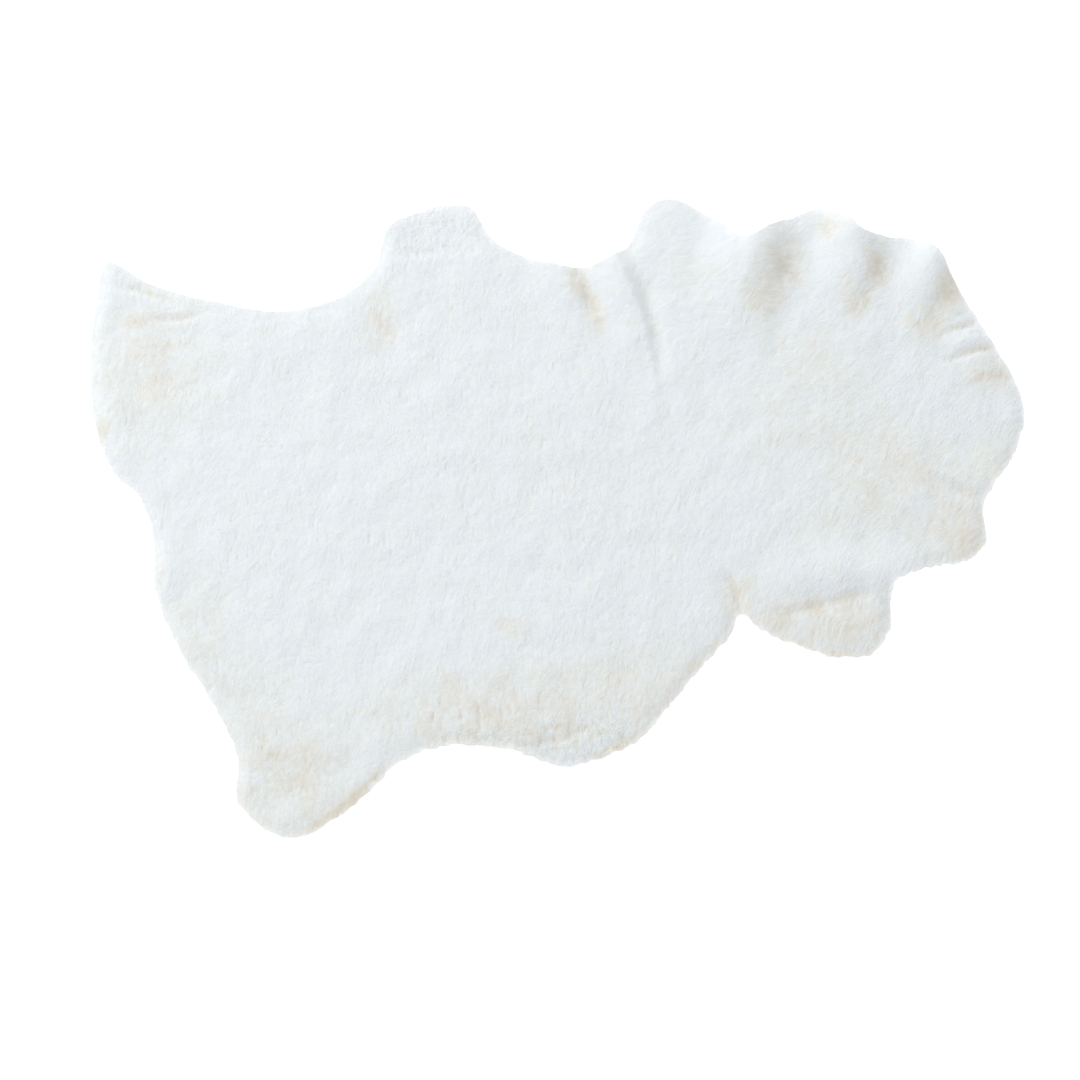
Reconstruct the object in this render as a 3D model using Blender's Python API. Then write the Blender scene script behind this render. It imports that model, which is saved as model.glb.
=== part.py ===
"""A shorn sheepskin rug lying flat: one pelt, its tanned hide and its own wool in one solid.

The hide is down, at z = 0, and the wool is up. The rump with its hind flaps points to -X and the neck to
+X. The upper edge, +Y, is ruffled: folds start at the rim and die out inwards. Every plan size is in
millimetres until the mesh is written in metres.
"""

import math

import bmesh
import bpy
import numpy as np
from mathutils import Vector, noise
from mathutils.geometry import delaunay_2d_cdt

MM = 0.001

# The wool, sheared to an even height over its hide.
PELT_THICKNESS = 17.0
RIM_ROUNDING = 13.0  # how far inside the edge the wool reaches its full height
RIM_HEIGHT = 5.0  # height of the outermost wool over the hide's underside
UNDER_ROUNDING = 4.0  # how far inside the edge the hide starts to touch the floor
FOOT_INSET = 5.0  # the outermost points that rest on the floor, all past the rounding also in tight tips
FOLD_END = 60.0  # a fold dies out this far beyond the start of its crest
HIDE_SAG = 0.5  # the hide's weight takes this off each fold, and keeps it on the floor where less is left
CREASE_REACH = 0.75  # share of its length over which a crease fades from its middle

# Wool stands in locks. They scallop the rim, at uneven widths and depths, and leave the top lumpy.
LOCK_PITCH = 22.0
LOCK_DEPTH = 3.5
LOCK_WIDTH_SPREAD = 0.35
LOCK_DEPTH_SPREAD = 0.5
LUMP_PITCH = 30.0
LUMP_HEIGHT = 2.6
SWELL_PITCH = 95.0
SWELL_HEIGHT = 2.2

# Mesh spacing. The underside is coarse where it lies flat.
RIM_STEP = 5.6
TOP_STEP = 13.9
UNDER_STEP = 17.0
UNDER_FLAT_STRIDE = 3
RIM_RINGS = (("crown", 2.0, 1), ("shoulder", 7.0, 2), ("brow", 15.0, 3))  # name, inset, points skipped
UNDER_RING = ("foot", FOOT_INSET, 2)
NEAREST_TO_RIM = 0.8  # share of its inset that a ring's point keeps from the rim in tight tips

# The pelt's natural outline, clockwise from the rump's upper horn: name, x, y.
UPPER_EDGE = (
    ("hind horn tip", -509, 314),
    ("hind horn root", -457, 286),
    ("flank slope", -384, 265),
    ("flank hollow", -310, 253),
    ("flank rise", -249, 269),
    ("flap foot", -207, 306),
    ("flap left side", -199, 336),
    ("flap left corner", -187, 367),
    ("flap right corner", -101, 389),
    ("flap slope", -68, 341),
    ("belly hollow", -7, 312),
    ("belly hollow end", 40, 309),
    ("first ruffle foot", 80, 333),
    ("first ruffle shoulder", 100, 379),
    ("first ruffle tip", 131, 396),
    ("first ruffle slope", 179, 370),
    ("valley at second fold", 216, 337),
    ("second ruffle shoulder", 260, 366),
    ("second ruffle tip", 299, 383),
    ("second ruffle slope", 332, 364),
    ("valley at third fold", 352, 346),
)
NECK_END = (
    ("third ruffle tip", 394, 347),
    ("third ruffle corner", 428, 329),
    ("third ruffle side", 440, 313),
    ("shoulder", 456, 284),
    ("neck shoulder", 488, 224),
    ("neck upper corner", 518, 166),
    ("neck tip", 528, 122),
    ("neck lower corner", 514, 71),
    ("neck flap", 492, 33),
    ("neck pleat", 479, 8),
    ("cheek corner", 481, -32),
    ("cheek tip", 464, -56),
    ("cheek underside", 416, -70),
    ("armpit", 376, -95),
)
LOWER_EDGE = (
    ("fore flap side", 372, -143),
    ("fore flap corner", 350, -174),
    ("fore flap tip", 314, -178),
    ("fore flap underside", 258, -160),
    ("pleat right lip", 219, -137),
    ("pleat apex", 205, -123),
    ("pleat left lip", 194, -151),
    ("belly slope", 162, -189),
    ("belly slope end", 123, -240),
    ("lower belly corner", 94, -277),
    ("lower belly tip right", 50, -299),
    ("lower belly tip left", 10, -310),
    ("lower belly step", -32, -296),
    ("lower hollow right", -63, -287),
    ("lower hollow left", -130, -287),
    ("hind leg root", -174, -307),
    ("hind leg inner side", -223, -357),
)
RUMP_END = (
    ("hind leg tip right", -274, -391),
    ("hind leg tip left", -306, -393),
    ("hind leg corner", -351, -353),
    ("hind leg outer side", -353, -296),
    ("thigh", -384, -228),
    ("thigh top", -421, -165),
    ("rump lower corner", -447, -95),
    ("rump lower side", -451, -35),
    ("tail notch", -464, 13),
    ("rump lobe foot", -500, 55),
    ("rump lobe", -521, 120),
    ("rump side", -526, 213),
    ("hind horn outer side", -520, 279),
)

# Folds lift hide and wool together. Each crest runs from the rim inwards and fades out there. Looking
# along it from the rim, the steep flank is on the left, and bow shifts the crest's middle to that side.
# name, rim x, rim y, inner x, inner y, bow, height, gentle width, steep width
FOLDS = (
    ("belly ripple", 2, 316, 42, 200, 0, 9, 46, 24),
    ("first fold", 68, 320, 113, 138, 8, 15, 50, 17),
    ("second fold", 232, 345, 214, 196, 0, 30, 80, 46),
    ("third fold", 346, 358, 312, 236, 12, 27, 60, 40),
    ("fourth fold", 438, 326, 390, 222, 0, 25, 44, 46),
    ("neck wrinkle", 494, 214, 424, 202, 0, 8, 16, 13),
    ("lower neck wrinkle", 512, 182, 430, 176, 0, 7, 15, 14),
    ("neck flap fold", 500, 40, 398, 66, 0, 9, 30, 20),
    ("fore flap fold", 386, -88, 206, -128, -34, 17, 50, 38),
    ("hind horn fold", -505, 296, -420, 222, 0, 5, 26, 22),
)

# Creases part the wool and leave the hide where it is: name, start x, start y, end x, end y, depth, width.
CREASES = (
    ("along the first fold", 94, 292, 122, 172, 6, 11),
    ("in the second ruffle", 303, 372, 288, 322, 7, 12),
    ("pleat", 205, -124, 184, -66, 8, 12),
    ("under the fore flap fold", 372, -92, 240, -122, 7, 16),
    ("over the lower belly tip", -34, -282, 60, -250, 7, 12),
    ("neck pleat", 470, 12, 444, 34, 6, 10),
    ("flank hollow", -204, 262, -188, 190, 4, 34),
)

# Patches where the wool was cut shorter: name, x, y, x radius, y radius, drop.
SHORT_WOOL = (
    ("hind flap", -146, 358, 86, 62, 7),
    ("lower belly tip", 14, -306, 96, 44, 6),
    ("neck hollow", 496, 168, 34, 28, 5),
)

WOOL_COLOUR = (0.83, 0.83, 0.80, 1.0)
WOOL_ROUGHNESS = 0.95


def landmarks():
    """The outline's points, clockwise."""
    return [(x, y) for edge in (UPPER_EDGE, NECK_END, LOWER_EDGE, RUMP_END) for _, x, y in edge]


def blend(a, b, at_a, at_b, t):
    """The point at t on the line that passes a at at_a and b at at_b."""
    return (a * (at_b - t) + b * (t - at_a)) / (at_b - at_a)


def smooth_loop(points, steps=16):
    """A closed centripetal Catmull-Rom curve through the points, so that narrow tips don't overshoot."""
    loop = []
    count = len(points)
    for i in range(count):
        p = [np.array(points[(i + offset) % count], float) for offset in (-1, 0, 1, 2)]
        k = np.cumsum([0.0] + [math.sqrt(np.linalg.norm(b - a)) for a, b in zip(p, p[1:])])
        for t in np.linspace(k[1], k[2], steps, endpoint=False):
            first = [blend(p[j], p[j + 1], k[j], k[j + 1], t) for j in range(3)]
            second = [blend(first[j], first[j + 1], k[j], k[j + 2], t) for j in range(2)]
            loop.append(blend(second[0], second[1], k[1], k[2], t))
    return np.array(loop)


def even_steps(loop, step):
    """The closed loop resampled at even distances of about one step, with the outward normals."""
    closed = np.vstack([loop, loop[:1]])
    along = np.concatenate([[0.0], np.cumsum(np.linalg.norm(np.diff(closed, axis=0), axis=1))])
    places = np.linspace(0.0, along[-1], round(along[-1] / step), endpoint=False)
    points = np.column_stack([np.interp(places, along, closed[:, k]) for k in (0, 1)])
    tangent = np.roll(points, -1, axis=0) - np.roll(points, 1, axis=0)
    tangent /= np.linalg.norm(tangent, axis=1)[:, None]
    return points, np.column_stack([-tangent[:, 1], tangent[:, 0]]), places


def unevenness(x, y, layer):
    """Smooth noise between about -0.6 and 0.6, the same each run. Each layer is its own pattern."""
    return np.array([noise.noise(Vector((a, b, layer))) for a, b in zip(x, y)])


def lock_scallops(places, length):
    """How far each lock at the rim bulges out, at uneven widths: deep notches, round ends."""
    locks = round(length / LOCK_PITCH)
    phase = places / length * locks
    phase = phase + LOCK_WIDTH_SPREAD * unevenness(phase, phase, LOCK_WIDTH_SPREAD)
    size = 1.0 + LOCK_DEPTH_SPREAD * unevenness(phase, phase, LOCK_DEPTH_SPREAD)
    bulge = np.abs(np.sin(math.pi * phase))
    return LOCK_DEPTH * size * (bulge - bulge.mean())


def rim_distance(points, loop):
    """Distance from each point to the closed loop."""
    run = np.roll(loop, -1, axis=0) - loop
    nearest = np.full(len(points), np.inf)
    for a, d in zip(loop, run):
        t = np.clip(((points - a) @ d) / (d @ d), 0.0, 1.0)
        nearest = np.minimum(nearest, np.hypot(*(points - a - t[:, None] * d).T))
    return nearest


def inside(points, loop):
    """Which points lie inside the closed loop, by counting the edges that a ray crosses."""
    found = np.zeros(len(points), bool)
    for (ax, ay), (bx, by) in zip(loop, np.roll(loop, -1, axis=0)):
        if ay == by:
            continue
        crosses = (ay > points[:, 1]) != (by > points[:, 1])
        found ^= crosses & (points[:, 0] < (bx - ax) * (points[:, 1] - ay) / (by - ay) + ax)
    return found


def lattice(loop, step, clearance):
    """A triangular lattice over the outline, kept clear of its rim."""
    low, high = loop.min(axis=0), loop.max(axis=0)
    rows = np.arange(low[1], high[1], step * math.sqrt(0.75))
    points = []
    for number, y in enumerate(rows):
        xs = np.arange(low[0] + 0.5 * step * (number % 2), high[0], step)
        points.append(np.column_stack([xs, np.full(len(xs), y), np.full(len(xs), number)]))
    points = np.vstack(points)
    points = points[inside(points[:, :2], loop)]
    return points[rim_distance(points[:, :2], loop) > clearance]


def bell(distance, width):
    """One at the middle and zero from the width on, with a soft foot."""
    return 0.5 + 0.5 * np.cos(math.pi * np.clip(np.abs(distance) / width, 0.0, 1.0))


def along_and_aside(points, start, end):
    """Each point's share of the way along the line, its distance to the left of it, and the line's length."""
    run = np.subtract(end, start).astype(float)
    length = np.linalg.norm(run)
    run /= length
    rel = points - np.array(start, float)
    return (rel @ run) / length, rel @ np.array([-run[1], run[0]]), length


def fold_lift(points):
    """How high the folds lift the hide off the floor."""
    lift = np.zeros(len(points))
    for _, x0, y0, x1, y1, bow, height, gentle, steep in FOLDS:
        t, left, length = along_and_aside(points, (x0, y0), (x1, y1))
        left = left - bow * np.sin(math.pi * np.clip(t, 0.0, 1.0))
        across = np.where(left > 0, bell(left, steep), bell(left, gentle))
        lift += height * across * np.where(t > 0, bell(t, 1.0), bell(t * length, FOLD_END))
    return np.maximum(lift - HIDE_SAG, 0.0)


def wool_height(points):
    """Height of the sheared wool over the hide's underside, with its creases, short patches and lumps."""
    height = np.full(len(points), PELT_THICKNESS)
    for _, x, y, rx, ry, drop in SHORT_WOOL:
        height -= drop * bell(np.hypot((points[:, 0] - x) / rx, (points[:, 1] - y) / ry), 1.0)
    for _, x0, y0, x1, y1, depth, width in CREASES:
        t, left, _ = along_and_aside(points, (x0, y0), (x1, y1))
        height -= depth * bell(left, width) * bell(t - 0.5, CREASE_REACH)
    for pitch, size in ((LUMP_PITCH, LUMP_HEIGHT), (SWELL_PITCH, SWELL_HEIGHT)):
        height += size * unevenness(points[:, 0] / pitch, points[:, 1] / pitch, pitch)
    return height


def top_heights(points, rim):
    """The wool's surface: it rounds over from the rim's outermost wool to its full height."""
    inset = np.clip(rim_distance(points, rim) / RIM_ROUNDING, 0.0, 1.0)
    rounding = np.sqrt(1.0 - (1.0 - inset) ** 2)
    return fold_lift(points) + RIM_HEIGHT + (wool_height(points) - RIM_HEIGHT) * rounding


def under_heights(points, rim):
    """The hide's underside: flat on the floor but for the folds and the rounding at the rim."""
    inset = np.clip(rim_distance(points, rim) / UNDER_ROUNDING, 0.0, 1.0)
    return fold_lift(points) + RIM_HEIGHT * (1.0 - inset)


def ring_points(rim, normals, ring):
    """Points of one ring inside the rim, without those that a tight tip pushes back towards it."""
    _, inset, skip = ring
    points = (rim - normals * inset)[::skip]
    return points[rim_distance(points, rim) > inset * NEAREST_TO_RIM]


def sheet(rim, inner, heights):
    """Vertices and triangles of one face of the pelt: the rim first, then the points inside it."""
    plan = [Vector(point) for point in np.vstack([rim, inner])]
    verts, _, faces, *_ = delaunay_2d_cdt(plan, [], [list(range(len(rim)))], 1, 1e-5)
    flat = np.array([tuple(v) for v in verts])
    return np.column_stack([flat, heights(flat, rim)]), faces


def pelt_mesh(rim, normals):
    """Top and underside joined along the rim into one closed mesh, centred over the origin."""
    rings = [ring_points(rim, normals, ring) for ring in RIM_RINGS]
    grid = lattice(rim, TOP_STEP, RIM_RINGS[-1][1] + 0.5 * TOP_STEP)[:, :2]
    top, top_faces = sheet(rim, np.vstack([*rings, grid]), top_heights)

    foot = ring_points(rim, normals, UNDER_RING)
    grid = lattice(rim, UNDER_STEP, UNDER_ROUNDING + UNDER_STEP)
    column = np.round(grid[:, 0] / UNDER_STEP)
    lifted = fold_lift(grid[:, :2]) > 0.0
    kept = lifted | ((grid[:, 2] % UNDER_FLAT_STRIDE == 0) & (column % UNDER_FLAT_STRIDE == 0))
    under, under_faces = sheet(rim, np.vstack([foot, grid[kept][:, :2]]), under_heights)

    centre = np.append((top.min(axis=0) + top.max(axis=0))[:2] / 2, 0.0)
    mesh = bmesh.new()
    top_verts = [mesh.verts.new((v - centre) * MM) for v in top]
    under_verts = top_verts[: len(rim)] + [mesh.verts.new((v - centre) * MM) for v in under[len(rim) :]]
    for face in top_faces:
        mesh.faces.new([top_verts[i] for i in face])
    for face in under_faces:
        mesh.faces.new([under_verts[i] for i in reversed(face)])
    bmesh.ops.recalc_face_normals(mesh, faces=mesh.faces)
    return mesh


def wool_material():
    """Natural white wool."""
    material = bpy.data.materials.new("natural_white_wool")
    material.use_nodes = True
    shader = material.node_tree.nodes["Principled BSDF"]
    shader.inputs["Base Color"].default_value = WOOL_COLOUR
    shader.inputs["Roughness"].default_value = WOOL_ROUGHNESS
    shader.inputs["Metallic"].default_value = 0.0
    return material


def build_pelt():
    """The whole rug as one object."""
    outline = smooth_loop(landmarks())
    rim, normals, places = even_steps(outline, RIM_STEP)
    length = places[-1] + RIM_STEP
    rim = rim + normals * lock_scallops(places, length)[:, None]
    mesh = pelt_mesh(rim, normals)
    data = bpy.data.meshes.new("pelt")
    mesh.to_mesh(data)
    mesh.free()
    data.shade_smooth()
    data.materials.append(wool_material())
    pelt = bpy.data.objects.new("pelt", data)
    bpy.context.scene.collection.objects.link(pelt)
    return pelt


def main():
    for old in list(bpy.data.objects):
        bpy.data.objects.remove(old, do_unlink=True)
    build_pelt()


main()
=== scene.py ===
"""The looks of a shorn sheepskin rug that lies flat with its wool up.

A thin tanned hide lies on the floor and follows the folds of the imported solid. The sheared fleece stands on
it as one soft surface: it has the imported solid's form, finer creases, the lobes of combed wool, curls on the
lower belly and a rim with small tufts.
Sizes are in millimetres until a mesh is written in metres, but those of the view, the light and the floor are
in metres.
"""

import math

import bmesh
import bpy
import numpy as np
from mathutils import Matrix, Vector
from mathutils.bvhtree import BVHTree
from mathutils.geometry import delaunay_2d_cdt
from mathutils.kdtree import KDTree

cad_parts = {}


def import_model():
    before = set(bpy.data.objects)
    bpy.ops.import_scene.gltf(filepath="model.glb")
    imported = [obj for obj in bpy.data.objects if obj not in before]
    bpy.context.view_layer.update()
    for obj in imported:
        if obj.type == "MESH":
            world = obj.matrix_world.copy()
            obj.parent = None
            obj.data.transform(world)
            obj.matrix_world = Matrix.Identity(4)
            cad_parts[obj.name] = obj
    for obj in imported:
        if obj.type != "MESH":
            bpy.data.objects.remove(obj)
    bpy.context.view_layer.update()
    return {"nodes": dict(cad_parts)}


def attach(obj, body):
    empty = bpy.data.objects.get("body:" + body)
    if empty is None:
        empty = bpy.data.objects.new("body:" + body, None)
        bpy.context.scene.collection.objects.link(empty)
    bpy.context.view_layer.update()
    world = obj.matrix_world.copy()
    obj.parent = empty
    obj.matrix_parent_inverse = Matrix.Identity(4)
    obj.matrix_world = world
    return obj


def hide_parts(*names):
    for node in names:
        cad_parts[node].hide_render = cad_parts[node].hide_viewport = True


MM = 0.001

# The photograph's view: from in front of the lower edge, steeply down, with a long lens.
VIEW_ELEVATION = 65.0
VIEW_WIDTH = 1.210  # metres across the picture at the rug
VIEW_DISTANCE = 9.0
VIEW_CENTRE_X = -0.0191  # the picture's middle lies this far beside the rug's
VIEW_CENTRE_DOWN = 0.0247  # and this far below it, in the picture's plane
SENSOR = 36.0  # the camera's own unit for its sensor and its lens

# Light: a large window up and to the left of the rug, and cool daylight from all round. In metres and watts.
DAYLIGHT = (0.90, 0.95, 0.99)
DAYLIGHT_STRENGTH = 0.68
WINDOW_PLACE = (-2.5, 2.2, 3.1)
WINDOW_SIDE = 3.4
WINDOW_POWER = 106.0
# The floor is matt white, and glows to be as bright as the photograph's ground.
FLOOR_SHADER = {
    "Roughness": 1.0,
    "Specular IOR Level": 0.0,
    "Base Color": (0.9, 0.9, 0.9, 1.0),
    "Emission Color": (1.0, 1.0, 1.0, 1.0),
    "Emission Strength": 0.58,
}
FLOOR_REACH = 8.0
FLOOR_GAP = 0.0005  # it lies this far below the rug

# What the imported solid's own making gives: its wool reaches full height this far inside the rim, and its
# underside rises to the rim's height over the second distance.
FULL_HEIGHT_INSET = 15.0
UNDER_ROUNDING = 5.0
RIM_HEIGHT = 5.0
# How the solid is read.
RAY_START = 1000.0  # rays start this far above it or below it
RIM_SAMPLE = 0.5  # distances from its rim are measured to points this far apart

# The hide: tanned leather, cut a little inside the wool that grows over its edge.
HIDE_THICKNESS = 1.8
HIDE_INSET = 9.0
HIDE_STEP = 9.0
HIDE_ROUNDS = 1  # passes that smooth the folds it lies on
HIDE_SHARP = 50.0  # degrees between two faces that meet in a sharp edge
SEAT = 0.1  # gap between the hide and the foot of the wool

# The fleece: one closed surface, with points close together across the combed strokes and further apart along
# them.
FLEECE_INSET = 1.0
FLEECE_STEP = 1.9
FLEECE_STRETCH = 2.0
FLEECE_UNDER_STEP = 12.0
FLEECE_DROP = 0.4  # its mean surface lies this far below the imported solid's
FLEECE_EDGE_ROUNDING = 12.0
SURFACE_ROUNDS = 16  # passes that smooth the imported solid's facets away
RIM_ROUNDS = 5  # passes that soften the scallops of its rim
SOFTEN_AND_RESTORE = (0.5, -0.53)
RIM_TUFTS = ((5.0, 1.6), (11.0, 1.8))  # pitch and size of the unevenness that tufts give the fleece's rim
DEEPEST_NICK = -0.9
RAGGED = (0.5, 1.6)  # how much of it shows along the upper edges and along the lower ones
RELIEF_AT_RIM = 0.3  # share of the surface's relief that is left at the rim
FLEECE_SHARP = 80.0  # as the hide's

# Both meshes are a triangular lattice inside a loop of rim points.
ROW_PITCH = math.sqrt(0.75)  # the distance between its rows, in steps
EDGE_CLEARANCE = 0.7  # how far it keeps from the loop, in steps
INSET_KEPT = 0.93  # a point of a loop stays where it lies at least this share of the inset inside the rim
TRIANGLES_INSIDE = 1  # the filling tool's number for triangles inside the loop alone
FILL_TOLERANCE = 1e-5
TINY = 1e-6  # a distance that counts as none, in whichever unit is used

# Sheared wool shows soft lobes, long in the direction in which it is combed. The strokes run almost straight
# down the picture at the rump, and their upper ends lean over to the right towards the neck.
STROKE_SLANT = (3.0, 28.0)  # degrees from the Y axis at the rump and at the neck
STROKE_SPAN = (-60.0, 420.0)  # they turn from one to the other between these places on the X axis
STROKE_WANDER = (30.0, 7.0)  # pitch and size of the bends in the strokes
LOBE = (5.4, 8.5, 0.72)  # width, length and height
LOBE_UNEVEN = 0.5  # how much higher one lobe may stand than another, in heights
BELOW_LOBES = -9.0  # lower than any lobe reaches
MOUNDS = (("mound", 30.0, 1.3), ("dimple", 10.0, 0.62))  # name, pitch, height

# Each uneven pattern has its own seed.
NOISE_CELLS = 256  # a pattern repeats after this many cells
COMBED_SEED, CURLS_SEED, GRAINS_SEED = 0, 5, 6
WANDER_SEEDS = (11, 12)
MOUND_SEEDS = (20, 21)
CREAM_SEEDS = (33, 34)
TUFT_SEEDS = (40, 41)

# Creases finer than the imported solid's: name, start x, start y, end x, end y, bow to the left, depth, width.
# A negative depth is a welt.
CREASE_FADES = 0.75  # a crease is gone this far from its middle, in lengths
CREASES = (
    ("left of the first fold", 18, 300, 52, 238, 2, 3.0, 18),
    ("right of the first fold", 88, 304, 121, 158, 6, 1.5, 12),
    ("crest of the first fold", 76, 304, 110, 156, 6, -1.6, 10),
    ("crest of the second fold", 222, 334, 212, 272, 0, -1.6, 14),
    ("left in the second hollow", 262, 338, 250, 276, 4, 0.7, 16),
    ("behind the second tip", 304, 370, 314, 340, 0, 3.0, 11),
    ("third hollow", 372, 328, 342, 256, 3, 2.2, 15),
    ("fourth hollow", 450, 300, 426, 244, 3, 2.6, 18),
    ("neck wrinkle", 504, 206, 440, 189, -3, 4.4, 8),
    ("welt between the neck wrinkles", 496, 220, 440, 205, -3, -1.8, 9),
    ("upper neck wrinkle", 488, 240, 434, 220, -2, 3.6, 8),
    ("lower neck wrinkle", 506, 172, 462, 158, -3, 1.6, 10),
    ("pleat", 207, -118, 190, -74, 0, 2.4, 10),
    ("under the fore flap fold", 366, -96, 238, -128, 0, 2.2, 11),
    ("over the hind flap's foot", -188, 322, -104, 330, 4, 0.9, 10),
    ("hind flap's foot", -188, 310, -104, 318, 4, -0.9, 9),
    ("lower belly crease", -34, -284, 62, -250, -4, 1.8, 9),
    ("neck flap's lip", 472, 26, 417, 53, -3, -2.2, 10),
    ("horn wrinkle", -502, 282, -430, 262, 4, 3.2, 9),
    ("lower horn wrinkle", -462, 240, -398, 250, -3, 2.4, 8),
    ("neck flap crease", 474, 14, 440, 40, 2, 2.6, 10),
    ("first flank streak", -137, -245, -137, -258, 0, 2.2, 3.4),
    ("second flank streak", -108, -238, -104, -260, 0, 2.0, 3.2),
    ("third flank streak", -88, -238, -85, -266, 0, 2.4, 3.6),
    ("back streak", -17, 80, -14, 92, 0, 1.4, 3.2),
    ("loin streak", -210, -26, -208, -42, 0, 1.5, 3.0),
    ("second loin streak", -193, -24, -191, -44, 0, 1.6, 3.0),
    ("third loin streak", -163, -26, -162, -40, 0, 1.4, 3.0),
)

# Cream: stains, and painted shade in the rows for the pleat, under the fore flap fold, the hollows, the
# troughs and the second tip. Name, x, y, x radius, y radius, strength.
CREAM_STAINS_AND_PAINTED_SHADE = (
    ("rump", -462, 176, 120, 160, 0.34),
    ("upper rump spot", -475, 236, 28, 14, 0.4),
    ("middle rump spot", -448, 210, 50, 11, 0.36),
    ("lower rump spot", -447, 150, 44, 28, 0.2),
    ("rump rim", -512, 100, 16, 26, 0.4),
    ("tail rim", -446, -71, 16, 32, 0.4),
    ("rump side", -400, -150, 70, 110, 0.3),
    ("thigh", -345, -240, 90, 90, 0.25),
    ("hind leg", -290, -326, 120, 110, 0.5),
    ("lower belly left", -120, -246, 170, 84, 0.38),
    ("lower belly", 10, -240, 180, 96, 0.34),
    ("lower belly right", 110, -196, 130, 90, 0.26),
    # This row is painted shade in the pleat.
    ("pleat", 205, -104, 40, 52, 0.5),
    ("fore flap", 312, -142, 120, 60, 0.52),
    ("left of the fore flap", 246, -130, 40, 26, 0.4),
    # This row is painted shade under the fore flap fold.
    ("under the fore flap fold", 300, -116, 96, 15, 0.2),
    ("cheek", 452, -36, 84, 62, 0.5),
    ("upper cheek", 456, -8, 52, 34, 0.22),
    ("neck flap", 500, 66, 46, 56, 0.3),
    # Painted shade in the folds' hollows and troughs and behind the second tip, down to the neck hollow.
    ("flank hollow", -198, 236, 32, 74, 0.5),
    ("upper first trough", 22, 290, 22, 40, 0.5),
    ("lower first trough", 44, 242, 26, 44, 0.4),
    ("upper second hollow", 258, 310, 44, 56, 0.62),
    ("lower second hollow", 234, 262, 40, 48, 0.6),
    ("second tip", 307, 354, 28, 30, 0.4),
    ("upper third hollow", 364, 306, 28, 44, 0.66),
    ("lower third hollow", 338, 264, 28, 42, 0.6),
    ("upper fourth hollow", 450, 280, 30, 46, 0.7),
    ("lower fourth hollow", 418, 236, 44, 40, 0.55),
    ("neck hollow", 488, 168, 46, 36, 0.6),
    ("shoulder", 290, 120, 170, 120, 0.24),
    ("above the fore flap", 322, -16, 120, 76, 0.24),
    ("between the first two folds", 150, 294, 50, 44, 0.22),
    ("below the second hollow", 284, 202, 90, 60, 0.2),
    ("neck", 395, 46, 140, 90, 0.38),
    ("back", -52, -143, 30, 26, 0.5),
    ("loin", 40, 60, 240, 150, 0.1),
)
# Cream at the very rim: name, x, y, reach along it, width of the band, strength.
CREAM_RIMS = (
    ("hind leg's inner side", -228, -352, 96, 14.0, 0.9),
    ("right of the lower belly's tip", 62, -282, 64, 12.0, 0.5),
    ("lower belly's right side", 176, -190, 110, 16.0, 0.34),
    ("fore flap", 300, -176, 80, 9.0, 0.5),
)
CREAM_RIM_FULL = 0.6  # share of a rim band's width that is at its full strength
CREAM_BROAD = (26.0, 1.0)  # pitch and strength of the uneven patches in the cream
CREAM_STREAKS = (4.0, 7.0, 1.2)  # width, length and strength of its flecks along the combed strokes
CREAM_VARIES = (0.2, 2.0)  # how much patches and flecks may weaken it and strengthen it
CREAMIEST = 1.3
# The creases are darkened towards cream as painted shade.
CREASE_SHADE_SHOWS = 0.13  # cream for each mm of a crease's depth

# The lower belly's wool is left longer and curls: name, x, y, x radius, y radius.
CURLY = (
    ("lower belly left", -96, -284, 92, 34),
    ("lower belly tip", 22, -280, 112, 50),
)
# The last number here and in GRAINS sets how much painted shade the gaps between these lobes get.
CURLS = (7.0, 9.0, 1.8, 2.0)  # width, length and height of the lobes there, and how strongly their gaps show
# The hind flap was cut shorter, and its wool is grainy. Its two tables read as the two above.
GRAINY = (("hind flap", -144, 352, 88, 60),)
GRAINS = (4.8, 7.6, 1.6, 1.6)
PATCH_SHARE = 1.6  # how fast these lobes take over from the combed ones inside their patches

# Finishes. White and cream are the two colours of the wool, and the cream also serves as painted shade.
WHITE_WOOL = "FBFAF7"
CREAM_WOOL_AND_PAINTED_SHADE = "EEE4D5"
PALE_LEATHER = "E9DFCD"
DARK_LEATHER = "D8C9B0"
WOOL_SHADER = {
    "Roughness": 0.95,
    "Specular IOR Level": 0.2,
    "Diffuse Roughness": 0.3,
    "Sheen Weight": 0.35,
    "Sheen Roughness": 0.5,
    "Subsurface Weight": 0.6,
    "Subsurface Radius": (1.0, 0.9, 0.8),
    "Subsurface Scale": 2.4 * MM,
}
LEATHER_SHADER = {"Roughness": 0.9, "Specular IOR Level": 0.2}
# A Mix node's sockets for its factor, its two colours and its result, when it mixes colours.
MIX_FACTOR, MIX_FIRST, MIX_SECOND, MIX_RESULT = 0, 6, 7, 2
# How strongly the cream shows in stains and in the painted shade of hollows and creases, and as painted
# shade in the gaps between lobes and where the wool parts.
STAIN_AND_SHADE_SHOWS, GAP_SHADE_SHOWS, PARTED_SHADE_SHOWS = 0.9, 0.26, 0.3
# Locks and fibres too fine for the mesh, and the gaps where the wool parts: width, length. A single fibre is
# too fine to show, so the fibres are drawn as coarse as this.
FINE_LOCK = (5.0, 6.2)
LOCK_SMOOTHNESS = 0.35
FIBRE = (3.0, 4.0)
FIBRE_ROUGHNESS = 0.62
ROUGHER = 0.6  # how much higher they stand where the wool is rough
PARTING = (3.2, 20.0)
PARTING_OPENS = (0.58, 0.78)  # it opens as its pattern rises from the first to the second
PARTED_PITCH = 38.0  # the wool parts in patches this far from one another
PARTED_OPENS = (0.46, 0.66)
FINE_HEIGHT = 0.9  # how high the fibres stand
LOCK_SHARE = 0.45  # how deep the gaps between locks are, in those heights
PARTING_SHARE = 0.3  # and the partings
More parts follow.
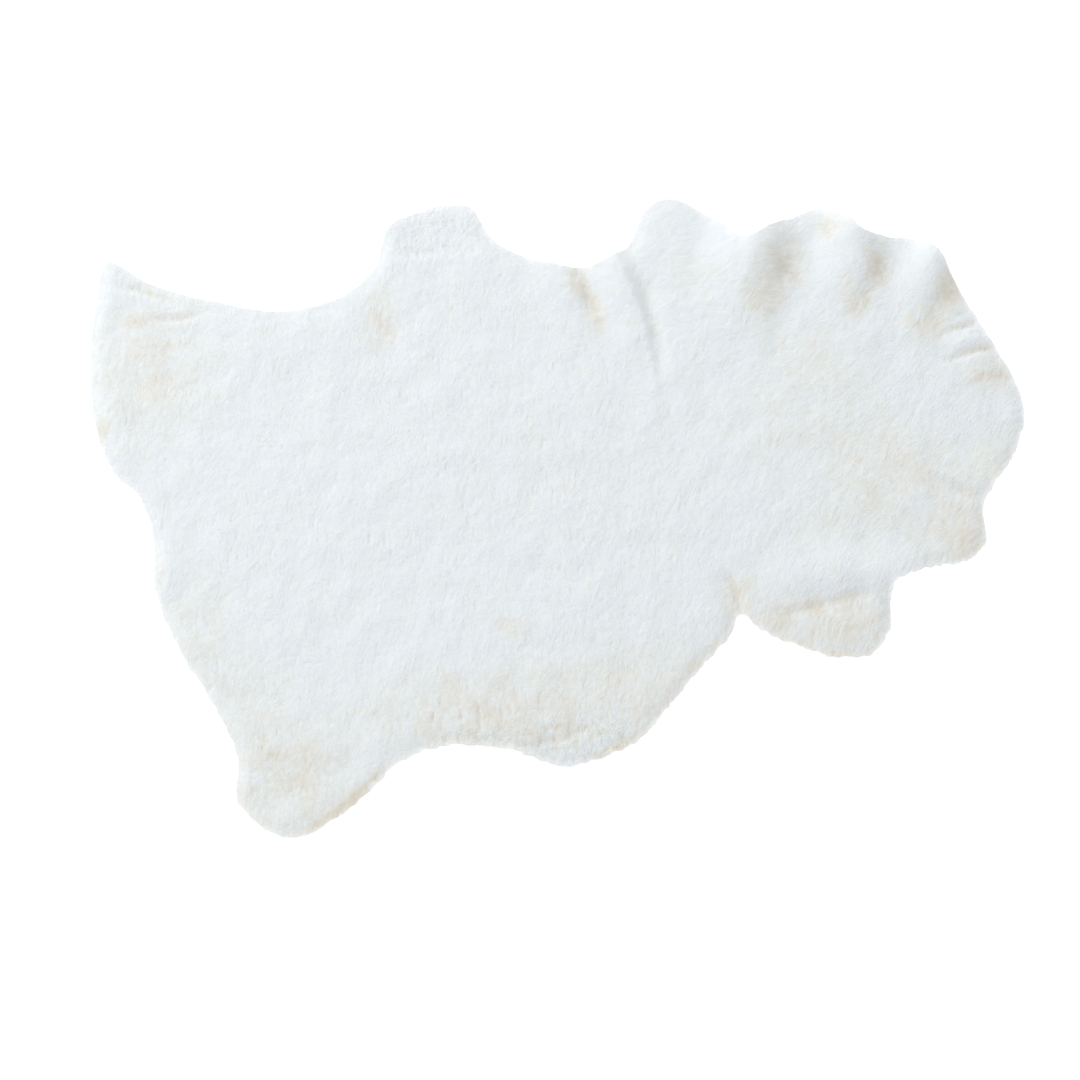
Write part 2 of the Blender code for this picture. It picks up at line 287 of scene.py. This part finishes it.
# The leather's clouds, and its grain, which is finer in truth and is drawn as coarse as it needs to show.
CLOUD_PITCH = 45.0
GRAIN_PITCH = 1.2
GRAIN_HEIGHT = 0.12


def linear(hex_colour):
    """A linear colour from sRGB hex digits."""
    values = [int(hex_colour[i : i + 2], 16) / 255 for i in (0, 2, 4)]
    return [v / 12.92 if v <= 0.04045 else ((v + 0.055) / 1.055) ** 2.4 for v in values] + [1.0]


def add(tree, kind, inputs=None, **settings):
    """Adds a node with its settings. An input is given a value, or the output socket that is linked to it."""
    node = tree.nodes.new(kind)
    for name, value in settings.items():
        setattr(node, name, value)
    for socket, value in (inputs or {}).items():
        if isinstance(value, bpy.types.NodeSocket):
            tree.links.new(value, node.inputs[socket])
        else:
            node.inputs[socket].default_value = value
    return node


# ---------------------------------------------------------------- shape rules in plan


def unevenness(points, pitch, seed):
    """Smooth gradient noise between about -0.7 and 0.7 at the given pitch. Each seed is its own pattern."""
    turns = np.random.default_rng(seed).uniform(0.0, 2.0 * math.pi, (NOISE_CELLS, NOISE_CELLS))
    x, y = points[:, 0] / pitch, points[:, 1] / pitch
    column, row = np.floor(x).astype(int), np.floor(y).astype(int)
    total = np.zeros(len(points))
    for dc in (0, 1):
        for dr in (0, 1):
            turn = turns[(column + dc) % NOISE_CELLS, (row + dr) % NOISE_CELLS]
            u, v = x - column - dc, y - row - dr
            weight = (1.0 - fade(np.abs(u))) * (1.0 - fade(np.abs(v)))
            total += weight * (u * np.cos(turn) + v * np.sin(turn))
    return total


def fade(t):
    """The usual quintic from zero to one, with level ends."""
    return t * t * t * (t * (t * 6.0 - 15.0) + 10.0)


def smooth_step(value, low, high):
    """Zero up to the low value and one from the high value on, with level ends."""
    t = np.clip((value - low) / (high - low), 0.0, 1.0)
    return t * t * (3.0 - 2.0 * t)


def bell(distance, width=1.0):
    """One at the middle and zero from the width on, with a soft foot."""
    return 0.5 + 0.5 * np.cos(math.pi * np.clip(np.abs(distance) / width, 0.0, 1.0))


def patches(points, table):
    """How strongly each point lies in the table's soft ellipses. A row without a strength counts as one."""
    amount = np.zeros(len(points))
    for _, x, y, rx, ry, *strength in table:
        amount += (strength or [1.0])[0] * bell(np.hypot((points[:, 0] - x) / rx, (points[:, 1] - y) / ry))
    return amount


def creases(points):
    """How deep the creases part the wool at each point."""
    depths = np.zeros(len(points))
    for _, x0, y0, x1, y1, bow, depth, width in CREASES:
        run = np.array([x1 - x0, y1 - y0], float)
        length = np.linalg.norm(run)
        rel = points - np.array([x0, y0], float)
        t = rel @ run / length**2
        left = rel @ np.array([-run[1], run[0]]) / length - bow * np.sin(math.pi * np.clip(t, 0.0, 1.0))
        depths += depth * bell(left, width) * bell(t - 0.5, CREASE_FADES)
    return depths


def lobes(across, along, seed):
    """Domes side by side at uneven heights, one in each unit cell: the highest of their paraboloids shows."""
    random = np.random.default_rng(seed)
    middle = random.uniform(0.0, 1.0, (NOISE_CELLS, NOISE_CELLS, 2))
    tall = random.uniform(0.0, LOBE_UNEVEN, (NOISE_CELLS, NOISE_CELLS))
    column, row = np.floor(across).astype(int), np.floor(along).astype(int)
    highest = np.full(len(across), BELOW_LOBES)
    for dc in (-1, 0, 1):
        for dr in (-1, 0, 1):
            c, r = (column + dc) % NOISE_CELLS, (row + dr) % NOISE_CELLS
            du, dv = across - column - dc - middle[c, r, 0], along - row - dr - middle[c, r, 1]
            highest = np.maximum(highest, tall[c, r] - du * du - dv * dv)
    return highest - highest.mean()


def strokes(points):
    """Coordinates across and along the combed strokes, in mm."""
    x, y = points[:, 0], points[:, 1]
    slant = np.radians(STROKE_SLANT[0] + (STROKE_SLANT[1] - STROKE_SLANT[0]) * smooth_step(x, *STROKE_SPAN))
    pitch, size = STROKE_WANDER
    across = x - y * np.tan(slant) + size * unevenness(points, pitch, WANDER_SEEDS[0])
    return across, y + size * unevenness(points, pitch, WANDER_SEEDS[1])


def relief(points):
    """Three things about the sheared surface at each point: the height of its lobes and mounds, about zero on
    average, how deep the point lies between lobes, which the material turns into painted shade, and how rough
    the wool is."""
    across, along = strokes(points)
    width, length, tall = LOBE
    shape = lobes(across / width, along / length, COMBED_SEED)
    height, depth, rough = tall * shape, -shape, np.zeros(len(points))
    kinds = ((CURLY, CURLS, CURLS_SEED), (GRAINY, GRAINS, GRAINS_SEED))
    for table, (width, length, tall, gaps), seed in kinds:
        share = np.clip(PATCH_SHARE * patches(points, table), 0.0, 1.0)
        shape = lobes(points[:, 0] / width, points[:, 1] / length, seed)
        height += share * (tall * shape - height)
        depth += share * (-gaps * shape - depth)
        rough = np.maximum(rough, share)
    for (_, pitch, tall), seed in zip(MOUNDS, MOUND_SEEDS):
        height += tall * unevenness(points, pitch, seed)
    return height, depth, rough


def cream_stains_and_painted_shade(points, distance):
    """How far the wool goes to cream: its stains, and the painted shade in its creases and in the folds'
    hollows, broken up into uneven patches and into flecks along the strokes."""
    stains_and_shade = patches(points, CREAM_STAINS_AND_PAINTED_SHADE) + CREASE_SHADE_SHOWS * np.maximum(creases(points), 0.0)
    for _, x, y, reach, band, strength in CREAM_RIMS:
        near = bell(np.hypot(points[:, 0] - x, points[:, 1] - y), reach)
        stains_and_shade += strength * near * (1.0 - smooth_step(distance, CREAM_RIM_FULL * band, band))
    across, along = strokes(points)
    pitch, broad = CREAM_BROAD
    width, length, streaky = CREAM_STREAKS
    uneven = broad * unevenness(points, pitch, CREAM_SEEDS[0])
    uneven += streaky * unevenness(np.column_stack([across / width, along / length]), 1.0, CREAM_SEEDS[1])
    return np.clip(stains_and_shade * np.clip(1.0 + uneven, *CREAM_VARIES), 0.0, CREAMIEST)


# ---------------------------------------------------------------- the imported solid, read as heights in plan


class PackedPelt:
    """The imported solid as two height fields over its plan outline."""

    def __init__(self, node):
        mesh = bmesh.new()
        mesh.from_mesh(node.data)
        bmesh.ops.remove_doubles(mesh, verts=mesh.verts, dist=TINY)
        bmesh.ops.scale(mesh, vec=(1 / MM,) * 3, verts=mesh.verts)
        mesh.normal_update()
        self.tree = BVHTree.FromBMesh(mesh)
        self.rim = softened(self.outline(mesh), RIM_ROUNDS)
        mesh.free()
        fine = spaced(self.rim, RIM_SAMPLE)
        self.near_rim = KDTree(len(fine))
        for number, (x, y) in enumerate(fine):
            self.near_rim.insert((x, y, 0.0), number)
        self.near_rim.balance()

    @staticmethod
    def outline(mesh):
        """The loop of edges where a face that looks up meets one that looks down, counter-clockwise."""
        beside = {}
        for edge in mesh.edges:
            up, down = (face.normal.z for face in edge.link_faces)
            if up * down < 0.0:
                for vert, other in (edge.verts, reversed(edge.verts)):
                    beside.setdefault(vert, []).append(other)
        loop, last = [min(beside, key=lambda vert: vert.co.x)], None
        while len(loop) < len(beside):
            ahead = [vert for vert in beside[loop[-1]] if vert != last]
            last = loop[-1]
            loop.append(ahead[0])
        rim = np.array([(vert.co.x, vert.co.y) for vert in loop])
        following = np.roll(rim, -1, axis=0)
        turn = (rim[:, 0] * following[:, 1] - rim[:, 1] * following[:, 0]).sum()
        return rim if turn > 0.0 else rim[::-1]

    def heights(self, points, from_above):
        """Where a vertical ray meets the solid. Just past the rim it takes the nearest surface."""
        side = 1.0 if from_above else -1.0
        start, way = side * RAY_START, Vector((0.0, 0.0, -side))
        found = []
        for x, y in points.tolist():
            hit = self.tree.ray_cast((x, y, start), way)[0]
            if hit is None:
                hit = self.tree.find_nearest((x, y, 0.0))[0]
            found.append(hit.z)
        return np.array(found)

    def from_rim(self, points):
        """Each point's distance from the rim, and the direction to its nearest point."""
        nearest = np.array([self.near_rim.find((x, y, 0.0))[0][:2] for x, y in points.tolist()])
        away = nearest - points
        distance = np.hypot(away[:, 0], away[:, 1])
        return distance, away / np.maximum(distance, TINY)[:, None]

    def lift(self, points, distance):
        """How high the folds lift the hide, without the rise of the solid's underside at the rim."""
        rise = RIM_HEIGHT * (1.0 - np.clip(distance / UNDER_ROUNDING, 0.0, 1.0))
        return np.maximum(self.heights(points, False) - rise, 0.0)

    def inset_loop(self, inset, step):
        """The rim moved inwards and resampled, without the points that a tight tip pushes back towards it."""
        points = self.rim - outward(self.rim) * inset
        return spaced(points[self.from_rim(points)[0] > INSET_KEPT * inset], step)


def outward(loop):
    """The direction out of a counter-clockwise closed loop at each of its points."""
    tangent = np.roll(loop, -1, axis=0) - np.roll(loop, 1, axis=0)
    tangent /= np.linalg.norm(tangent, axis=1)[:, None]
    return np.column_stack([tangent[:, 1], -tangent[:, 0]])


def softened(loop, rounds):
    """The loop without its scallops. Each round moves it out again, so that its tips keep their reach."""
    for _ in range(rounds):
        for share in SOFTEN_AND_RESTORE:
            beside = 0.5 * (np.roll(loop, 1, axis=0) + np.roll(loop, -1, axis=0))
            loop = loop + share * (beside - loop)
    return loop


def tufted(loop):
    """The fleece's rim with its tufts: small ones all round, and larger ones along the lower edges."""
    out = outward(loop)
    ragged = RAGGED[0] + (RAGGED[1] - RAGGED[0]) * smooth_step(-out[:, 1], 0.0, 1.0)
    tufts = sum(size * unevenness(loop, pitch, seed) for (pitch, size), seed in zip(RIM_TUFTS, TUFT_SEEDS))
    tufts = ragged * np.maximum(tufts, DEEPEST_NICK)
    return loop + out * tufts[:, None]


def spaced(loop, step):
    """The closed loop resampled at even distances of about one step."""
    closed = np.vstack([loop, loop[:1]])
    along = np.concatenate([[0.0], np.cumsum(np.linalg.norm(np.diff(closed, axis=0), axis=1))])
    places = np.linspace(0.0, along[-1], round(along[-1] / step), endpoint=False)
    return np.column_stack([np.interp(places, along, closed[:, k]) for k in (0, 1)])


def crossings(loop, y):
    """Where the closed loop crosses the row at that height, from left to right."""
    a, b = loop, np.roll(loop, -1, axis=0)
    cut = (a[:, 1] > y) != (b[:, 1] > y)
    a, b = a[cut], b[cut]
    return np.sort(a[:, 0] + (y - a[:, 1]) / (b[:, 1] - a[:, 1]) * (b[:, 0] - a[:, 0]))


def lattice(loop, step):
    """A triangular lattice inside the closed loop, row by row, kept clear of its edge."""
    rows = []
    for number, y in enumerate(np.arange(loop[:, 1].min(), loop[:, 1].max(), step * ROW_PITCH)[1:]):
        xs = np.arange(loop[:, 0].min() + 0.5 * step * (number % 2), loop[:, 0].max(), step)
        xs = xs[np.searchsorted(crossings(loop, y), xs) % 2 == 1]
        rows.append(np.column_stack([xs, np.full(len(xs), y)]))
    grid = np.vstack(rows)
    edge = KDTree(len(loop))
    for number, (x, y) in enumerate(loop):
        edge.insert((x, y, 0.0), number)
    edge.balance()
    clear = np.array([edge.find((x, y, 0.0))[2] for x, y in grid.tolist()])
    return grid[clear > EDGE_CLEARANCE * step]


def plan_mesh(loop, step, stretch=1.0):
    """Points and upward triangles that fill the loop: first its own points, then a lattice that may be
    stretched along Y."""
    scale = np.array([1.0, stretch])
    flat = loop / scale
    points = [Vector(point) for point in np.vstack([flat, lattice(flat, step)])]
    filled = delaunay_2d_cdt(points, [], [list(range(len(loop)))], TRIANGLES_INSIDE, FILL_TOLERANCE)
    verts, faces = np.array([tuple(vert) for vert in filled[0]]) * scale, np.array(filled[2])
    a, b, c = (verts[faces[:, k]] for k in range(3))
    turned = (b[:, 0] - a[:, 0]) * (c[:, 1] - a[:, 1]) < (b[:, 1] - a[:, 1]) * (c[:, 0] - a[:, 0])
    faces[turned] = faces[turned][:, ::-1]
    return verts, faces


def smoothed(heights, faces, rounds):
    """Heights averaged with their neighbours' a few times."""
    links = np.vstack([faces[:, pair] for pair in ((0, 1), (1, 2), (2, 0))])
    links = np.unique(np.sort(links, axis=1), axis=0)
    a, b = links[:, 0], links[:, 1]
    count = np.bincount(a, minlength=len(heights)) + np.bincount(b, minlength=len(heights))
    for _ in range(rounds):
        total = np.bincount(a, heights[b], len(heights)) + np.bincount(b, heights[a], len(heights))
        heights = total / np.maximum(count, 1)
    return heights


# ---------------------------------------------------------------- pieces


def new_piece(name, verts, faces, material):
    """A smooth mesh object from points in mm."""
    data = bpy.data.meshes.new(name)
    data.from_pydata((verts * MM).tolist(), [], faces.tolist())
    data.materials.append(material)
    data.shade_smooth()
    piece = bpy.data.objects.new(name, data)
    bpy.context.scene.collection.objects.link(piece)
    return piece


def made_plain(piece):
    """Turns the piece's evaluated result into its own mesh, with no modifier left."""
    graph = bpy.context.evaluated_depsgraph_get()
    mesh = bpy.data.meshes.new_from_object(piece.evaluated_get(graph))
    piece.modifiers.clear()
    old, piece.data = piece.data, mesh
    bpy.data.meshes.remove(old)
    mesh.name = piece.name
    return piece


def build_hide(pelt, leather):
    """The tanned hide: one thin closed sheet on the folds."""
    points, faces = plan_mesh(pelt.inset_loop(HIDE_INSET, HIDE_STEP), HIDE_STEP)
    under = smoothed(pelt.lift(points, pelt.from_rim(points)[0]), faces, HIDE_ROUNDS)
    hide = new_piece("hide", np.column_stack([points, under]), faces, leather)
    wall = hide.modifiers.new("thickness", "SOLIDIFY")
    wall.thickness = HIDE_THICKNESS * MM
    wall.offset = 1.0  # all of it upwards
    wall.use_even_offset = True
    made_plain(hide)
    hide.data.set_sharp_from_angle(angle=math.radians(HIDE_SHARP))
    return hide


def fleece_surface(pelt, points, faces):
    """The heights of the wool's surface, and what its material reads at each point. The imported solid's wool
    height is read where it is full, and rounded off at the rim."""
    distance, towards = pelt.from_rim(points)
    inner = points - towards * np.maximum(FULL_HEIGHT_INSET - distance, 0.0)[:, None]
    wool = pelt.heights(inner, True) - pelt.heights(inner, False) - RIM_HEIGHT
    rounding = np.sqrt(1.0 - (1.0 - np.clip((distance - FLEECE_INSET) / FLEECE_EDGE_ROUNDING, 0.0, 1.0)) ** 2)
    skin = smoothed(pelt.lift(points, distance) + RIM_HEIGHT + wool * rounding, faces, SURFACE_ROUNDS)
    skin -= creases(points) * rounding
    height, depth, rough = relief(points)
    heights = skin + (height - FLEECE_DROP) * (RELIEF_AT_RIM + (1.0 - RELIEF_AT_RIM) * rounding)
    across, along = strokes(points)
    return heights, {
        "combed": np.column_stack([across, along, np.zeros(len(points))]),
        "depth": depth,
        "rough": rough,
        "cream": cream_stains_and_painted_shade(points, distance),
    }


def fleece_under(pelt, points, faces):
    """The fleece's underside: on the hide, and curled up to its edge past the hide's."""
    distance = pelt.from_rim(points)[0]
    curl = 1.0 - np.clip((distance - FLEECE_INSET) / (HIDE_INSET - FLEECE_INSET), 0.0, 1.0)
    on_hide = HIDE_THICKNESS + SEAT
    lift = smoothed(pelt.lift(points, distance), faces, HIDE_ROUNDS)
    return lift + on_hide + (RIM_HEIGHT - on_hide) * curl**2


def build_fleece(pelt, wool):
    """The sheared wool: a fine upper surface and a coarse underside that share the points of the rim."""
    loop = tufted(pelt.inset_loop(FLEECE_INSET, FLEECE_STEP))
    top, top_faces = plan_mesh(loop, FLEECE_STEP, FLEECE_STRETCH)
    under, under_faces = plan_mesh(loop, FLEECE_UNDER_STEP)
    heights, grown = fleece_surface(pelt, top, top_faces)
    under_heights = fleece_under(pelt, under, under_faces)
    rim_points, below = len(loop), len(under) - len(loop)
    past_top = under_faces + len(top) - rim_points
    under_faces = np.where(under_faces < rim_points, under_faces, past_top)[:, ::-1]
    verts = np.vstack([np.column_stack([top, heights]), np.column_stack([under, under_heights])[rim_points:]])
    fleece = new_piece("fleece", verts, np.vstack([top_faces, under_faces]), wool)
    for name, values in grown.items():
        kind, field = ("FLOAT_VECTOR", "vector") if values.ndim == 2 else ("FLOAT", "value")
        values = np.concatenate([values, np.zeros((below, *values.shape[1:]))])
        fleece.data.attributes.new(name, kind, "POINT").data.foreach_set(field, values.ravel())
    fleece.data.set_sharp_from_angle(angle=math.radians(FLEECE_SHARP))
    return fleece


# ---------------------------------------------------------------- materials


def new_material(name, values):
    """A material with these values on its shader's own sockets."""
    material = bpy.data.materials.new(name)
    material.use_nodes = True
    shader = material.node_tree.nodes["Principled BSDF"]
    for socket, value in values.items():
        shader.inputs[socket].default_value = value
    return material, material.node_tree, shader


def leather_material():
    """Tanned sheep leather with its flesh side buffed: pale, matt and cloudy, with a fine short grain."""
    material, tree, shader = new_material("buffed_sheep_leather", LEATHER_SHADER)
    place = add(tree, "ShaderNodeTexCoord").outputs["Object"]
    clouds = {"Vector": place, "Scale": 1.0 / (CLOUD_PITCH * MM), "Detail": 4.0, "Roughness": 0.6}
    clouds = add(tree, "ShaderNodeTexNoise", clouds).outputs["Fac"]
    colours = {MIX_FACTOR: clouds, MIX_FIRST: linear(PALE_LEATHER), MIX_SECOND: linear(DARK_LEATHER)}
    colour = add(tree, "ShaderNodeMix", colours, data_type="RGBA").outputs[MIX_RESULT]
    tree.links.new(colour, shader.inputs["Base Color"])
    grain = {"Vector": place, "Scale": 1.0 / (GRAIN_PITCH * MM), "Detail": 2.0}
    grain = add(tree, "ShaderNodeTexNoise", grain).outputs["Fac"]
    bump = add(tree, "ShaderNodeBump", {"Height": grain, "Distance": GRAIN_HEIGHT * MM}).outputs[0]
    tree.links.new(bump, shader.inputs["Normal"])
    return material


def fleece_material():
    """Natural white wool, washed and sheared: matt, bright and soft, because light goes in and comes out near
    by. It is creamier where it is stained, and cream is painted shade in its hollows, creases, partings and
    the gaps between its lobes."""
    material, tree, shader = new_material("sheared_white_wool", WOOL_SHADER)
    strokes_here, depth, rough, cream = (
        add(tree, "ShaderNodeAttribute", attribute_name=name).outputs[output]
        for name, output in (("combed", "Vector"), ("depth", "Fac"), ("rough", "Fac"), ("cream", "Fac"))
    )
    combed = []
    for width, length in (FINE_LOCK, FIBRE, PARTING):
        sized = {"Vector": strokes_here, "Scale": (1.0 / width, 1.0 / length, 1.0)}
        combed.append(add(tree, "ShaderNodeMapping", sized).outputs[0])

    # Round locks with gaps between them, and fibres over both.
    locks = {"Vector": combed[0], "Scale": 1.0, "Smoothness": LOCK_SMOOTHNESS}
    locks = add(tree, "ShaderNodeTexVoronoi", locks, voronoi_dimensions="2D", feature="SMOOTH_F1")
    locks = locks.outputs["Distance"]
    fibres = {"Vector": combed[1], "Scale": 1.0, "Detail": 3.0, "Roughness": FIBRE_ROUGHNESS}
    fibres = add(tree, "ShaderNodeTexNoise", fibres, noise_dimensions="2D").outputs["Fac"]

    # The wool parts along the strokes, in some patches.
    place = add(tree, "ShaderNodeTexCoord").outputs["Object"]
    partings = {"Vector": combed[2], "Scale": 1.0, "Detail": 1.0}
    parted_patches = {"Vector": place, "Scale": 1.0 / (PARTED_PITCH * MM), "Detail": 1.0}
    opened = []
    for pattern, dimensions, (shut, wide) in (
        (partings, "2D", PARTING_OPENS),
        (parted_patches, "3D", PARTED_OPENS),
    ):
        pattern = add(tree, "ShaderNodeTexNoise", pattern, noise_dimensions=dimensions).outputs["Fac"]
        span = {"Value": pattern, "From Min": shut, "From Max": wide}
        opened.append(add(tree, "ShaderNodeMapRange", span, interpolation_type="SMOOTHSTEP").outputs[0])
    parted = add(tree, "ShaderNodeMath", dict(enumerate(opened)), operation="MULTIPLY").outputs[0]

    # The bump: the fibres' height less the gaps and the partings, and higher where the wool is rough.
    gaps = add(tree, "ShaderNodeMath", {0: locks, 1: locks}, operation="MULTIPLY").outputs[0]
    height = fibres
    for sunk, share in ((gaps, LOCK_SHARE), (parted, PARTING_SHARE)):
        sunk = add(tree, "ShaderNodeMath", {0: sunk, 1: share}, operation="MULTIPLY").outputs[0]
        height = add(tree, "ShaderNodeMath", {0: height, 1: sunk}, operation="SUBTRACT").outputs[0]
    rougher = add(tree, "ShaderNodeMath", {0: rough, 1: ROUGHER, 2: 1.0}, operation="MULTIPLY_ADD").outputs[0]
    height = add(tree, "ShaderNodeMath", {0: height, 1: rougher}, operation="MULTIPLY").outputs[0]
    bump = add(tree, "ShaderNodeBump", {"Height": height, "Distance": FINE_HEIGHT * MM}).outputs[0]
    tree.links.new(bump, shader.inputs["Normal"])

    # The colour: from white to cream, for the stains and for painted shade in hollows, creases, partings and
    # the gaps between lobes.
    amount = add(tree, "ShaderNodeMath", {0: cream, 1: STAIN_AND_SHADE_SHOWS}, operation="MULTIPLY").outputs[0]
    for shown, share in ((parted, PARTED_SHADE_SHOWS), (depth, GAP_SHADE_SHOWS)):
        shown = add(tree, "ShaderNodeMath", {0: shown, 1: share}, operation="MULTIPLY").outputs[0]
        amount = add(tree, "ShaderNodeMath", {0: amount, 1: shown}, operation="ADD").outputs[0]
    amount = add(tree, "ShaderNodeClamp", {"Value": amount}).outputs[0]
    colours = {MIX_FACTOR: amount, MIX_FIRST: linear(WHITE_WOOL), MIX_SECOND: linear(CREAM_WOOL_AND_PAINTED_SHADE)}
    colour = add(tree, "ShaderNodeMix", colours, data_type="RGBA").outputs[MIX_RESULT]
    tree.links.new(colour, shader.inputs["Base Color"])
    return material


# ---------------------------------------------------------------- floor, light and camera


def build_stage():
    """The floor, the window and the daylight."""
    mesh = bpy.data.meshes.new("floor")
    corners = [(x * FLOOR_REACH, y * FLOOR_REACH, 0.0) for x, y in ((-1, -1), (1, -1), (1, 1), (-1, 1))]
    mesh.from_pydata(corners, [], [(0, 1, 2, 3)])
    floor = bpy.data.objects.new("floor", mesh)
    bpy.context.scene.collection.objects.link(floor)
    floor.location.z = -FLOOR_GAP
    mesh.materials.append(new_material("matt_white_floor", FLOOR_SHADER)[0])

    light = bpy.data.lights.new("window", "AREA")
    light.size = WINDOW_SIDE
    light.energy = WINDOW_POWER
    light.color = DAYLIGHT
    window = bpy.data.objects.new("window", light)
    bpy.context.scene.collection.objects.link(window)
    window.location = WINDOW_PLACE
    window.rotation_euler = (-window.location).to_track_quat("-Z", "Y").to_euler()

    world = bpy.data.worlds.new("daylight")
    world.use_nodes = True
    world.node_tree.nodes["Background"].inputs["Color"].default_value = (*DAYLIGHT, 1.0)
    world.node_tree.nodes["Background"].inputs["Strength"].default_value = DAYLIGHT_STRENGTH
    bpy.context.scene.world = world
    bpy.context.scene.view_settings.view_transform = "Standard"


def build_camera():
    """The photograph's view of the rug."""
    tilt = math.radians(VIEW_ELEVATION)
    back = Vector((0.0, -math.cos(tilt), math.sin(tilt)))
    up = Vector((0.0, math.sin(tilt), math.cos(tilt)))
    data = bpy.data.cameras.new("camera")
    data.sensor_width = SENSOR
    data.lens = SENSOR * VIEW_DISTANCE / VIEW_WIDTH
    camera = bpy.data.objects.new("camera", data)
    bpy.context.scene.collection.objects.link(camera)
    camera.location = Vector((VIEW_CENTRE_X, 0.0, 0.0)) - up * VIEW_CENTRE_DOWN + back * VIEW_DISTANCE
    camera.rotation_euler = (math.pi / 2 - tilt, 0.0, 0.0)
    bpy.context.scene.camera = camera


def main():
    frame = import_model()
    build_camera()
    build_stage()
    pelt = PackedPelt(frame["nodes"]["pelt"])
    hide = build_hide(pelt, leather_material())
    fleece = build_fleece(pelt, fleece_material())
    for piece in (hide, fleece):
        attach(piece, "root")
    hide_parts("pelt")


main()
